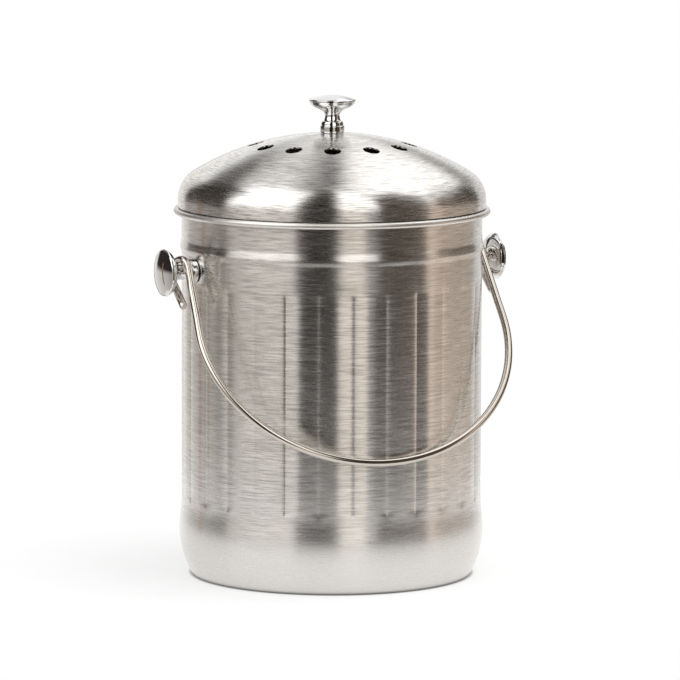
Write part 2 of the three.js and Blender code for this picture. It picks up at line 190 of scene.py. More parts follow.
def bezier(start: tuple, pull: tuple, end: tuple, steps: int) -> np.ndarray:
    """One quadratic Bezier curve in evenly spaced shares of its way, ends included."""
    t = np.linspace(0, 1, steps + 1)[:, None]
    return quadratic(np.array(start), np.array(pull), np.array(end), t)


def smoothstep(share: np.ndarray) -> np.ndarray:
    """A share from 0 to 1, made level at both ends: three times its square less twice its cube."""
    return share * share * (3 - 2 * share)


def arc(
    centre: tuple[float, float], radius: float, start: float, end: float, steps: int
) -> np.ndarray:
    """Points on a circle: centre plus radius times the cosine and sine of evenly spaced angles.

    Args:
        centre: the circle's centre.
        radius: its radius.
        start: first angle in radians.
        end: last angle in radians.
        steps: number of spans.

    Returns:
        One row of two numbers for each point, ends included.
    """
    angles = np.linspace(start, end, steps + 1)
    return np.column_stack((centre[0] + radius * np.cos(angles), centre[1] + radius * np.sin(angles)))


def soften(corners: np.ndarray, length: float, steps: int = 4, closed: bool = False) -> np.ndarray:
    """Rounds the corners of an outline.

    Each corner gives way to a quadratic Bezier curve that starts and ends a given length from it,
    or nearly half the shorter side next to it where that is less.

    Args:
        corners: the outline's corners.
        length: how far from a corner its curve starts and ends.
        steps: number of spans in each curve.
        closed: whether the last corner is joined to the first.

    Returns:
        The rounded outline. An open one keeps its two ends.
    """
    before = np.roll(corners, 1, axis=0) - corners
    after = np.roll(corners, -1, axis=0) - corners
    before_length = np.linalg.norm(before, axis=1, keepdims=True)
    after_length = np.linalg.norm(after, axis=1, keepdims=True)
    reach = np.minimum(length, 0.45 * np.minimum(before_length, after_length))
    start = corners + before / before_length * reach
    end = corners + after / after_length * reach
    t = np.linspace(0, 1, steps + 1)[None, :, None]
    curves = quadratic(start[:, None], corners[:, None], end[:, None], t)
    if closed:
        return curves.reshape(-1, 2)
    return np.vstack((corners[:1], curves[1:-1].reshape(-1, 2), corners[-1:]))


def offset_left(outline: np.ndarray, thickness: float) -> np.ndarray:
    """Follows an open outline on its left side, with mitred corners.

    Args:
        outline: the outline's points.
        thickness: how far to its left the new line lies.

    Returns:
        As many points as the outline has.
    """
    ahead = np.diff(outline, axis=0)
    ahead /= np.linalg.norm(ahead, axis=1, keepdims=True)
    arriving = np.vstack((ahead[:1], ahead))
    leaving = np.vstack((ahead, ahead[-1:]))
    along = arriving + leaving
    along /= np.linalg.norm(along, axis=1, keepdims=True)
    mitre = thickness / np.sum(along * arriving, axis=1, keepdims=True)
    return outline + np.column_stack((-along[:, 1], along[:, 0])) * mitre


# ---- meshes


def new_piece(
    name: str, points: np.ndarray, faces: list[list[int]], uv: np.ndarray, slots: np.ndarray
) -> bpy.types.Object:
    """Makes an object from points and faces.

    Args:
        name: the piece's name.
        points: its points in millimetres.
        faces: the numbers of each face's points.
        uv: the UV place of each corner of each face, in the order of the faces.
        slots: the material slot of each face.

    Returns:
        The new object, at the origin.
    """
    mesh = bpy.data.meshes.new(name)
    mesh.from_pydata((points * MILLIMETRE).tolist(), [], faces)
    mesh.uv_layers.new(name=UV_NAME).data.foreach_set("uv", uv.astype(np.float32).ravel())
    mesh.polygons.foreach_set("material_index", slots.astype(np.int32))
    mesh.update()
    piece = bpy.data.objects.new(name, mesh)
    bpy.context.scene.collection.objects.link(piece)
    return piece


def skin(
    name: str, rings: np.ndarray, along: np.ndarray, closed: bool = False, row_slots: np.ndarray | None = None
) -> bpy.types.Object:
    """Makes a piece from rings of points, one after the other.

    Point j of ring i joins point j + 1 of the same ring and point j of ring i + 1. A first or last ring
    whose points all fall together becomes one vertex. U is the length along the outline in metres, and V
    is the share of the way round.

    Args:
        name: the piece's name.
        rings: points in millimetres, as rings by columns by three.
        along: each ring's length along the outline.
        closed: whether the last ring is joined to the first.
        row_slots: the material slot of each row of faces.

    Returns:
        The new object, at the origin.
    """
    count, columns = rings.shape[:2]
    poles = [not closed and bool(np.ptp(rings[i], axis=0).max() < 1e-6) for i in (0, -1)]
    index = np.arange(count * columns).reshape(count, columns)
    for row in (0, -1):
        if poles[row]:
            index[row] = index[row, 0]
    used, index = np.unique(index, return_inverse=True)
    index = index.reshape(count, columns)
    place = np.asarray(along, float) * MILLIMETRE
    if closed:
        index = np.vstack((index, index[:1]))
        closing = np.linalg.norm(rings[0, 0] - rings[-1, 0]) * MILLIMETRE
        place = np.append(place, place[-1] + closing)
    wide = np.hstack((index, index[:, :1]))
    turn = np.arange(columns + 1) / columns
    corners = np.stack((wide[:-1, :-1], wide[:-1, 1:], wide[1:, 1:], wide[1:, :-1]), axis=-1)
    u_low, v_left = np.meshgrid(place[:-1], turn[:-1], indexing="ij")
    u_high, v_right = np.meshgrid(place[1:], turn[1:], indexing="ij")
    uv = np.stack((
        np.stack((u_low, v_left), -1), np.stack((u_low, v_right), -1),
        np.stack((u_high, v_right), -1), np.stack((u_high, v_left), -1),
    ), axis=2)
    first, last = int(poles[0]), corners.shape[0] - int(poles[1])
    faces = corners[first:last].reshape(-1, 4).tolist()
    coordinates = [uv[first:last].reshape(-1, 2)]
    slots = np.zeros(corners.shape[0], int) if row_slots is None else np.asarray(row_slots)
    face_slots = [np.repeat(slots[first:last], columns)]
    for row, keep in ((0, [0, 2, 3]), (-1, [0, 1, 2])):
        if poles[row]:
            faces += corners[row][:, keep].tolist()
            coordinates.append(uv[row][:, keep].reshape(-1, 2))
            face_slots.append(np.repeat(slots[[row]], columns))
    return new_piece(
        name, rings.reshape(-1, 3)[used], faces, np.concatenate(coordinates), np.concatenate(face_slots)
    )


def stack_flat(loops: np.ndarray, heights: np.ndarray) -> np.ndarray:
    """Gives each flat loop of points its height, and returns them as rings by columns by three."""
    levels = np.broadcast_to(heights[:, None, None], loops.shape[:2] + (1,))
    return np.concatenate((loops, levels), axis=-1)


def lengths(outline: np.ndarray) -> np.ndarray:
    """How far each point lies along its outline."""
    return np.concatenate(([0.0], np.cumsum(np.linalg.norm(np.diff(outline, axis=0), axis=1))))


def revolve(
    name: str,
    outline: np.ndarray,
    columns: int | np.ndarray,
    closed: bool = False,
    pressed: np.ndarray | None = None,
    row_slots: np.ndarray | None = None,
) -> bpy.types.Object:
    """Turns an outline of radius and height about the vertical axis.

    x is the radius times the sine of the bearing, y is minus the radius times its cosine, z is the height.
    The outline goes up the outer wall, so that the faces point outwards.

    Args:
        name: the piece's name.
        outline: radius and height of each point.
        columns: the number of bearings, or the bearings themselves in radians.
        closed: whether the outline closes on itself.
        pressed: how far each point is pressed inwards, as outline points by bearings.
        row_slots: the material slot of each row of faces.

    Returns:
        The new object.
    """
    bearings = np.arange(columns) / columns * math.tau if isinstance(columns, int) else columns
    radius = outline[:, :1] - (0 if pressed is None else pressed)
    radius = np.broadcast_to(radius, (len(outline), len(bearings)))
    height = np.broadcast_to(outline[:, 1:], radius.shape)
    rings = np.stack((radius * np.sin(bearings), -radius * np.cos(bearings), height), axis=-1)
    return skin(name, rings, lengths(outline), closed, row_slots)


def rod(radius: float, low: float, high: float, columns: int) -> bpy.types.Object:
    """An upright cylinder on the vertical axis, which cuts a round hole."""
    return revolve("hole", np.array([(0, low), (radius, low), (radius, high), (0, high)]), columns)


def sweep(
    name: str, path: np.ndarray, reference: np.ndarray, radius: float, sides: int, chamfer: float
) -> bpy.types.Object:
    """Carries a circle along a path, with a chamfer and a flat end at both cut ends.

    At each station the circle lies in the plane across the path. Its first direction is the part of the
    reference that is square to the path, and its second is the path's direction crossed with the first.

    Args:
        name: the piece's name.
        path: the centre line's points.
        reference: a direction for each point, nowhere along the path.
        radius: the circle's radius.
        sides: the number of points in each circle.
        chamfer: size of the chamfer at the ends.

    Returns:
        The new object.
    """
    ahead = np.gradient(path, axis=0)
    ahead /= np.linalg.norm(ahead, axis=1, keepdims=True)
    first = reference - np.sum(reference * ahead, axis=1, keepdims=True) * ahead
    first /= np.linalg.norm(first, axis=1, keepdims=True)
    second = np.cross(ahead, first)
    size = np.full(len(path), radius)
    size[[0, -1]] = radius - chamfer
    stations = np.concatenate(([0, 0], np.arange(1, len(path) - 1), [-1, -1]))
    size = size[stations]
    size[[0, -1]] = 0
    angles = np.arange(sides) / sides * math.tau
    around = (
        np.cos(angles)[None, :, None] * first[stations][:, None]
        + np.sin(angles)[None, :, None] * second[stations][:, None]
    )
    rings = path[stations][:, None] + size[:, None, None] * around
    return skin(name, rings, lengths(path)[stations])


def cut_out(piece: bpy.types.Object, cutters: list[bpy.types.Object]) -> None:
    """Cuts other pieces out of a piece, keeps the result as its mesh and deletes the cutters."""
    for cutter in cutters:
        modifier = piece.modifiers.new("cut", "BOOLEAN")
        modifier.operation = "DIFFERENCE"
        modifier.solver = "EXACT"
        modifier.object = cutter
    bpy.context.view_layer.update()
    result = bpy.data.meshes.new_from_object(piece.evaluated_get(bpy.context.evaluated_depsgraph_get()))
    piece.modifiers.clear()
    piece.data = result
    for cutter in cutters:
        bpy.data.objects.remove(cutter)


def move_points(piece: bpy.types.Object, axis: Axis, base: Vector) -> None:
    """Turns a piece's points from upright to an axis and puts their base at a place.

    Args:
        piece: a piece made upright about the origin.
        axis: where its upper end is to point.
        base: where its origin goes, in metres.
    """
    count = len(piece.data.vertices)
    points = np.empty(count * 3, np.float32)
    piece.data.vertices.foreach_get("co", points)
    x, y, z = points.reshape(-1, 3).T
    turned = {Axis.UP: (x, y, z), Axis.RIGHT: (z, y, -x), Axis.LEFT: (-z, y, x)}[axis]
    placed = np.column_stack(turned) + np.array(base)
    piece.data.vertices.foreach_set("co", placed.astype(np.float32).ravel())
    piece.data.update()


def settle(
    piece: bpy.types.Object,
    body: str,
    nodes: tuple[str, ...],
    materials: list[bpy.types.Material],
    sharp: float = 32,
) -> None:
    """Shades, paints and registers a finished piece.

    Args:
        piece: the finished piece.
        body: the body that it rides on.
        nodes: the solids that it stands for.
        materials: its materials, in the order of its slots.
        sharp: edges that turn by more than this many degrees stay sharp.
    """
    mesh = piece.data
    for material in materials:
        mesh.materials.append(material)
    mesh.shade_smooth()
    mesh.set_sharp_from_angle(angle=math.radians(sharp))
    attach(piece, body)
    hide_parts(*nodes)
    LOG.info("%s: %d faces, rides on %s", piece.name, len(mesh.polygons), body)


# ---- finishes


@dataclass(frozen=True)
class BrushedSteel:
    """Stainless steel 304 sheet, brushed round the axis with an abrasive belt.

    The grain runs round the piece, so a reflection stays sharp from side to side and is drawn out up and
    down. The walls of the scratches mirror other places than the sheet does, which is drawn as streaks of
    lower and higher reflectance. Real scratches are about 0.1 mm wide. They are drawn wider, about the
    streak width, because finer ones would not show. The belt hardly reaches the bulge, where the streaks
    fade out.
    """

    name: str
    colour: str = "dfdcd8"
    roughness: float = 0.26
    roughness_spread: float = 0.03
    anisotropy: float = 0.9
    streak_width: float = 0.42
    streak_length: float = 13.0
    streak_contrast: float = 0.58
    depth: float = 0.006
    fade_low: float = 22.0
    fade_high: float = 56.0
    fade_least: float = 0.1

    def material(self) -> bpy.types.Material:
        """Builds the material.

        Returns:
            The material, which nothing wears yet.
        """
        material, tree = new_material(self.name)
        place = add_node(tree, "ShaderNodeTexCoord")
        apart = add_node(tree, "ShaderNodeSeparateXYZ", None, {0: place.outputs["Object"]})
        surface = add_node(tree, "ShaderNodeSeparateXYZ", None, {0: place.outputs["UV"]})
        stretches = {
            "X": (apart.outputs["X"], self.streak_length),
            "Y": (apart.outputs["Y"], self.streak_length),
            "Z": (surface.outputs["X"], self.streak_width),
        }
        stretched = add_node(tree, "ShaderNodeCombineXYZ", None, {
            socket: calculate(tree, "MULTIPLY", source, 1000 / size)
            for socket, (source, size) in stretches.items()
        })
        grain = noise(tree, stretched.outputs[0], 1.0, 2.0, 0.6)
        heights = (self.fade_low * MILLIMETRE, self.fade_high * MILLIMETRE)
        fade = remap(tree, apart.outputs["Z"], self.fade_least, 1.0, heights)
        streak = remap(tree, grain, -self.streak_contrast / 2, self.streak_contrast / 2, NOISE_RANGE)
        factor = calculate(tree, "ADD", calculate(tree, "MULTIPLY", streak, fade), 1.0)
        colour = linear(self.colour)[:3]
        tint = add_node(tree, "ShaderNodeVectorMath", {"operation": "SCALE"}, {0: colour, "Scale": factor})
        spread = self.roughness_spread
        rough = remap(tree, grain, self.roughness - spread, self.roughness + spread, NOISE_RANGE)
        tangent = add_node(tree, "ShaderNodeTangent", {"direction_type": "UV_MAP", "uv_map": UV_NAME})
        dress(tree, grain, self.depth, {
            "Base Color": tint.outputs[0], "Metallic": 1.0, "Roughness": rough,
            "Anisotropic": self.anisotropy, "Tangent": tangent.outputs[0],
        })
        return material


@dataclass(frozen=True)
class SmoothFinish:
    """A finish of one colour whose gloss and height vary with two fine noises.

    The first noise is handling marks or moulding texture at its own width. The second is a slow change of
    gloss over the piece.
    """

    name: str
    colour: str
    metallic: float
    roughness: float
    roughness_spread: float
    grain_width: float
    depth: float
    shade: float = 0.06

    def material(self) -> bpy.types.Material:
        """Builds the material.

        Returns:
            The material, which nothing wears yet.
        """
        material, tree = new_material(self.name)
        place = add_node(tree, "ShaderNodeTexCoord").outputs["Object"]
        grain = noise(tree, place, 1000 / self.grain_width, 4.0)
        cloud = noise(tree, place, CLOUDS_PER_METRE, 2.0)
        red, green, blue, _ = linear(self.colour)
        tint = add_node(tree, "ShaderNodeValToRGB", None, {0: grain})
        low = 1 - self.shade
        ramp(tint, [(0.25, (red * low, green * low, blue * low, 1)), (0.75, (red, green, blue, 1))])
        least = max(self.roughness - self.roughness_spread, 0.01)
        rough = remap(tree, cloud, least, self.roughness + self.roughness_spread)
        dress(tree, grain, self.depth, {
            "Base Color": tint.outputs[0], "Metallic": self.metallic, "Roughness": rough,
        })
        return material


def made(kind: type, *values: str | float, **options: float) -> Any:
    """A dataclass field that holds the material of one finish.

    Args:
        kind: the finish's class.
        values: its first fields, in their order.
        options: its other fields, by name.

    Returns:
        The field, which makes the material when its dataclass is made.
    """
    return field(default_factory=lambda: kind(*values, **options).material())


@dataclass
class Finishes:
    """All the materials of the pail, each made once."""

    body: bpy.types.Material = made(BrushedSteel, "brushed_steel_wall")
    # Brushed in the same way, with shorter and stronger streaks
    lid: bpy.types.Material = made(
        BrushedSteel, "brushed_steel_lid", streak_length=10.0, streak_contrast=0.95
    )
    # Drawn sheet as it leaves the press and its polishing wheel, seen inside the pail and the lid
    inner: bpy.types.Material = made(SmoothFinish, "satin_drawn_steel", "d3d0cc", 1.0, 0.3, 0.04, 0.6, 0.003)
    # Rim that the rolling tool has burnished: an even satin without the wall's grain
    rim: bpy.types.Material = made(SmoothFinish, "burnished_rim", "ebe8e3", 1.0, 0.4, 0.02, 0.9, 0.002)
    # Underside of the roll, dull and painted dark: painted shade that the wall just below mirrors as a dark
    # line
    painted_shade_hem: bpy.types.Material = made(SmoothFinish, "hem_painted_shade", "4a4744", 1.0, 0.5, 0.05, 0.8, 0.01, 0.2)
    # Buffed until it mirrors, with faint handling marks
    polished: bpy.types.Material = made(SmoothFinish, "buffed_steel", "e8e8e8", 1.0, 0.05, 0.015, 1.5, 0.001)
    # Bail wire, drawn and tumbled, a little duller and warmer than the knobs
    wire: bpy.types.Material = made(SmoothFinish, "drawn_steel_wire", "cfc8bf", 1.0, 0.12, 0.03, 0.8, 0.003)
    # Bright zinc plate, bluish and finely crystalline
    zinc: bpy.types.Material = made(SmoothFinish, "zinc_plate", "b9bec4", 1.0, 0.34, 0.05, 0.5, 0.006, 0.14)
    # Injection moulded polypropylene with a fine spark-eroded texture
    plastic: bpy.types.Material = made(
        SmoothFinish, "moulded_polypropylene", "26282a", 0.0, 0.5, 0.05, 0.4, 0.03, 0.1
    )
    # Needled felt filled with activated charcoal, matt and fibrous
    felt: bpy.types.Material = made(
        SmoothFinish, "charcoal_felt", "1c1d1f", 0.0, 0.96, 0.02, 0.9, 0.35, 0.45
    )


# ---- pail body


@dataclass
class PailBody:
    """The drawn body: fluted wall, ridge, bulge, foot, raised base and rolled rim."""

    finishes: Finishes
    radius: float = 87.8
    sheet: float = 0.8
    rim_top: float = 215.65
    rim_height: float = 3.5
    rim_overhang: float = 4.7
    rim_curl_gap: float = 1.2
    base_rise: float = 2.6
    base_slope: float = 3.0
    foot_land: float = 3.5
    foot_inset: float = 5.3
    foot_step: float = 1.2
    bulge_swell: float = 1.35
    bulge_height: float = 28.3
    ridge_drop: float = 22.7
    ridge_depth: float = 0.9
    ridge_upper_flank: float = 4.6
    ridge_lower_flank: float = 2.9
    ridge_lead: float = 1.5
    flute_count: int = 28
    flute_phase: float = 0.655
    flute_top_drop: float = 40.5
    flute_bottom: float = 45.0
    flute_depth: float = 0.45
    flute_fade: float = 4.0
    crease_depth: float = 0.03
    crease_width: float = 0.9
    dimple_depth: float = 0.15
    dimple_width: float = 2.4
    dimple_length: float = 3.2
    columns_per_flute: int = 14
    column_power: float = 1.6
    rounding: float = 0.9
    corner_steps: int = 14
    waist_steps: int = 8
    curl_steps: int = 18
    # Rows each side of the curl's cut end that are painted dark, as painted shade under the roll
    painted_shade_rows: int = 2
    end_rows: tuple[float, ...] = (0.7, 1.4, 2.1, 2.8, 3.5, 4.3, 5.2, 6.4, 8.5, 12.0)
    middle_rows: int = 7
    middle_inset: float = 20.0
    hole_radius: float = 2.3
    hole_height: float = 182.0
    hole_reach: float = 10.0

    def flute_top(self) -> float:
        """Height where the flutes end."""
        return self.rim_top - self.flute_top_drop

    def outside(self) -> np.ndarray:
        """Outside of the sheet, from under the middle of the base to the cut end of the rim's curl.

        The corner is an arc, and the waist above it a half cosine.

        Returns:
            Radius and height of each row.
        """
        foot = self.radius - self.foot_inset
        bulge = self.radius + self.bulge_swell
        land_outer = foot - self.foot_step
        land_inner = land_outer - self.foot_land
        base = soften(np.array([
            (0, self.base_rise), (land_inner - self.base_slope, self.base_rise),
            (land_inner, 0), (land_outer, 0), (foot, self.foot_step),
        ]), self.rounding, 6)
        rise = self.bulge_height - self.foot_step
        swell = bulge - foot
        corner_radius = (rise ** 2 + swell ** 2) / (2 * swell)
        start = -math.asin(rise / corner_radius)
        corner = arc((bulge - corner_radius, self.bulge_height), corner_radius, start, 0, self.corner_steps)
        share = np.linspace(0, 1, self.waist_steps + 1)[1:]
        waist_height = self.bulge_height + (self.flute_bottom - self.bulge_height) * share
        waist = np.column_stack((self.half_cosine(bulge, self.radius, share), waist_height))
        top = self.flute_top()
        middle = (self.flute_bottom + self.middle_inset, top - self.middle_inset)
        heights = np.concatenate((
            self.flute_bottom + np.array(self.end_rows), np.linspace(*middle, self.middle_rows),
            top - np.array(self.end_rows[::-1]), [top],
        ))
        wall = np.column_stack((np.full(len(heights), self.radius), heights))
        return np.vstack((base[:-1], corner, waist, wall, self.ridge(), self.rim()))

    @staticmethod
    def half_cosine(start: float, end: float, share: np.ndarray) -> np.ndarray:
        """A smooth change from start to end: level at both ends, as half a cosine wave is."""
        return start + (end - start) * (1 - np.cos(np.pi * share)) / 2

    def ridge(self) -> np.ndarray:
        """Outline of the ridge under the rim: two straight flanks with rounded corners.

        Returns:
            Radius and height of each row.
        """
        height = self.rim_top - self.ridge_drop
        low, high = height - self.ridge_lower_flank, height + self.ridge_upper_flank
        corners = np.array([
            (self.radius, low - self.ridge_lead), (self.radius, low),
            (self.radius + self.ridge_depth, height),
            (self.radius, high), (self.radius, high + self.ridge_lead),
        ])
        return soften(corners, self.rounding, 3)

    def rim(self) -> np.ndarray:
        """Outline of the rolled rim, under the sheet: outward, then down and back.

        Returns:
            Radius and height of each row.
        """
        roll = self.rim_height / 2 - self.sheet
        height = self.rim_top - self.rim_height / 2
        inward = arc((self.radius + roll, height), roll, math.pi, math.pi / 2, self.curl_steps // 2)
        centre = self.radius + self.rim_overhang - self.rim_height / 2
        outward = arc((centre, height), roll, math.pi / 2, -math.pi / 2, self.curl_steps)
        end = np.array([(self.radius + self.rim_curl_gap, height - roll)])
        return np.vstack((inward, outward, end))

    def bearings(self) -> np.ndarray:
        """Columns round the wall, in radians, closest together at the creases.

        The distance from a crease grows with a power of the column's number.

        Returns:
            One bearing for each column.
        """
        half = self.columns_per_flute // 2
        step = np.arange(-half, half) / half
        place = 0.5 * np.sign(step) * np.abs(step) ** self.column_power
        flutes = np.arange(self.flute_count)[:, None] + self.flute_phase + place[None, :]
        return flutes.ravel() * math.tau / self.flute_count

    def pressed(self, outline: np.ndarray, bearings: np.ndarray) -> np.ndarray:
        """How far each point of the wall is pressed inwards.

        Between two creases the panel is pillowed: the depth falls with the square of the distance from the
        crease. The crease itself is a narrow V. Both fade in at the ends, where a small pointed dimple
        marks the end of the crease.

        Args:
            outline: radius and height of each row.
            bearings: the bearing of each column.

        Returns:
            Depths, as rows by columns.
        """
        pitches = bearings * self.flute_count / math.tau - self.flute_phase
        distance = np.abs(pitches - np.round(pitches))[None, :]
        height = outline[:, 1][:, None]
        from_end = np.minimum(height - self.flute_bottom, self.flute_top() - height)
        fade = smoothstep(np.clip(from_end / self.flute_fade, 0, 1))
        depth = self.flute_depth * (1 - 2 * distance) ** 2 * fade
        across = distance * math.tau * self.radius / self.flute_count
        depth = depth + self.crease_depth * np.clip(1 - across / self.crease_width, 0, 1) * fade
        reach = np.hypot(across / self.dimple_width, (from_end - self.dimple_length / 2) / self.dimple_length)
        depth = depth + self.dimple_depth * np.clip(1 - reach, 0, 1) ** 2
        on_wall = outline[:, :1] > self.radius - self.foot_inset
        return np.where(on_wall, depth, 0)

    def screw_hole(self, side: Axis) -> bpy.types.Object:
        """Cutter for one screw hole: a cylinder through the wall on the bail's axis.

        Args:
            side: left or right.

        Returns:
            The cutter.
        """
        hole = rod(self.hole_radius, 0, self.hole_reach, 32)
        start = self.radius - self.hole_reach / 2
        sign = -1 if side is Axis.LEFT else 1
        move_points(hole, side, Vector((sign * start, 0, self.hole_height)) * MILLIMETRE)
        return hole

    def build(self) -> None:
        """Builds the body, outside and inside of the sheet, and cuts the two screw holes."""
        outside = self.outside()
        inside = offset_left(outside, self.sheet)[::-1]
        inside[-1, 0] = 0
        outline = np.vstack((outside, inside))
        bearings = self.bearings()
        shell = len(outside)
        rim_rows = len(self.rim()) - 1
        wall_slot, inner_slot, rim_slot, painted_shade_slot = range(4)
        slots = np.full(len(outline) - 1, inner_slot)
        slots[: shell - rim_rows] = wall_slot
        slots[shell - rim_rows: shell + rim_rows] = rim_slot
        # The rows round the cut end of the curl wear the painted shade, a dark material standing for shade
        # under the roll
        slots[shell - self.painted_shade_rows: shell + self.painted_shade_rows] = painted_shade_slot
        body = revolve(
            "pail_wall", outline, bearings, pressed=self.pressed(outline, bearings), row_slots=slots
        )
        cut_out(body, [self.screw_hole(side) for side in (Axis.LEFT, Axis.RIGHT)])
        settle(
            body, "pail", ("pail_body",),
            [self.finishes.body, self.finishes.inner, self.finishes.rim, self.finishes.painted_shade_hem], sharp=12,
        )


# ---- knobs


@dataclass
class KnobSet:
    """A turned knob with the washer and the screw that hold it to a sheet."""

    finishes: Finishes
    prefix: str
    body: str
    axis: Axis
    radius: float = 13.7
    dome: float = 2.4
    height: float = 22.0
    neck_radius: float = 4.3
    collar_radius: float = 7.1
    collar_height: float = 4.0
    bore_radius: float = 2.3
    bore_depth: float = 9.0
    waist_pull: tuple[float, float] = (4.5, 4.9)
    shoulder: tuple[float, float] | None = None
    neck_heights: tuple[float, float] = (10.2, 10.4)
    flare_pull: tuple[float, float] = (4.5, 12.6)
    flare_end: tuple[float, float] = (8.2, 14.1)
    cone_start: tuple[float, float] = (8.6, 14.3)
    cone_pull: tuple[float, float] = (12.6, 15.6)
    edge_heights: tuple[float, float] = (18.3, 19.4)
    dome_inset: float = 0.7
    screw_radius: float = 2.0
    head_radius: float = 3.8
    head_height: float = 2.2
    head_rounding: float = 1.1
    washer_radius: float = 6.0
    washer_thickness: float = 1.0
    washer_rounding: float = 0.2
    cross_arm: float = 2.1
    cross_half: float = 0.42
    cross_depth: float = 1.3
    cross_taper: float = 0.45
    cross_clear: float = 0.6
    columns: int = 96
    washer_columns: int = 64
    screw_columns: int = 48

    def base(self, node: str) -> Vector:
        """Finds where a node's inner end lies on the knob's axis.

        Args:
            node: the solid's node.

        Returns:
            The place, in metres.
        """
        low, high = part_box(node)
        middle = (low + high) / 2
        if self.axis is Axis.UP:
            return Vector((middle.x, middle.y, low.z))
        return Vector((high.x if self.axis is Axis.LEFT else low.x, middle.y, middle.z))

    def knob_outline(self) -> np.ndarray:
        """Outline of the knob: blind bore, collar, waisted neck, conical underside and flat dome.

        Returns:
            Radius and height of each point, from the bore's bottom to the top of the dome.
        """
        edge_low, edge_high = self.edge_heights
        collar = soften(np.array([
            (self.bore_radius, 0), (self.collar_radius, 0), (self.collar_radius, self.collar_height),
            (self.collar_radius - 0.5, self.collar_height + 0.35),
        ]), 0.5, 4)
        foot = (self.collar_radius - 0.55, self.collar_height + 0.5)
        neck = (self.neck_radius, self.neck_heights[0])
        if self.shoulder is None:
            waist = bezier(foot, self.waist_pull, neck, 10)
        else:
            rise = bezier(foot, (foot[0], self.shoulder[1]), self.shoulder, 6)
            waist = np.vstack((rise, bezier(self.shoulder, self.waist_pull, neck, 10)[1:]))
        flare = bezier((self.neck_radius, self.neck_heights[1]), self.flare_pull, self.flare_end, 8)
        cone = bezier(self.cone_start, self.cone_pull, (self.radius - 0.25, edge_low), 8)
        edge = soften(np.array([
            (self.radius - 0.2, edge_low + 0.05), (self.radius, edge_low + 0.25),
            (self.radius, edge_high - 0.05), (self.radius - 0.5, edge_high + 0.28),
        ]), 0.12, 3)
        dome_edge = self.radius - self.dome_inset
        dome_radius = (dome_edge ** 2 + self.dome ** 2) / (2 * self.dome)
        start = math.acos(dome_edge / dome_radius)
        dome = arc((0, self.height - dome_radius), dome_radius, start, math.pi / 2, 14)
        dome[-1, 0] = 0
        bore = np.array([(0, self.bore_depth), (self.bore_radius, self.bore_depth)])
        return np.vstack((bore, collar, waist, flare, cone, edge, dome))

    def cross(self) -> bpy.types.Object:
        """Cutter for the cross recess of the screw: a plus sign that narrows as it goes in.

        Returns:
            The cutter.
        """
        arm, half = self.cross_arm, self.cross_half
        quarter = np.array([(half, -arm), (half, -half), (arm, -half)])
        turn = np.array([(0, 1), (-1, 0)])
        plus = np.vstack([quarter @ np.linalg.matrix_power(turn, i) for i in range(4)])
        sizes = np.array([0, 1, 1, self.cross_taper, 0])[:, None, None]
        heights = np.array([-self.cross_clear, -self.cross_clear, 0, self.cross_depth, self.cross_depth])
        return skin("cross", stack_flat(plus * sizes, heights), np.arange(5.0))

    def build(self) -> None:
        """Builds the knob, the washer and the screw and puts them on their axis."""
        names = [f"{self.prefix}_knob", f"{self.prefix}_knob_washer", f"{self.prefix}_knob_screw"]
        knob = revolve(f"{names[0]}_turned", self.knob_outline(), self.columns)
        ring = np.array([
            (self.bore_radius, 0), (self.washer_radius, 0), (self.washer_radius, self.washer_thickness),
            (self.bore_radius, self.washer_thickness),
        ])
        ring = soften(ring, self.washer_rounding, 3, closed=True)
        washer = revolve(f"{names[1]}_pressed", ring, self.washer_columns, closed=True)
        low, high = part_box(names[2])
        span = max(high - low) / MILLIMETRE
        shank = soften(np.array([
            (0, 0), (self.head_radius, 0), (self.head_radius, self.head_height),
            (self.screw_radius, self.head_height), (self.screw_radius, span), (0, span),
        ]), self.head_rounding, 5)
        screw = revolve(f"{names[2]}_headed", shank, self.screw_columns)
        cut_out(screw, [self.cross()])
        pieces = (
            (knob, names[0], "polished_steel", self.finishes.polished),
            (washer, names[1], "zinc", self.finishes.zinc),
            (screw, names[2], "zinc", self.finishes.zinc),
        )
        for piece, node, slot, material in pieces:
            move_points(piece, self.axis, self.base(node))
            settle(piece, self.body, (node,), [material])


# ---- bail


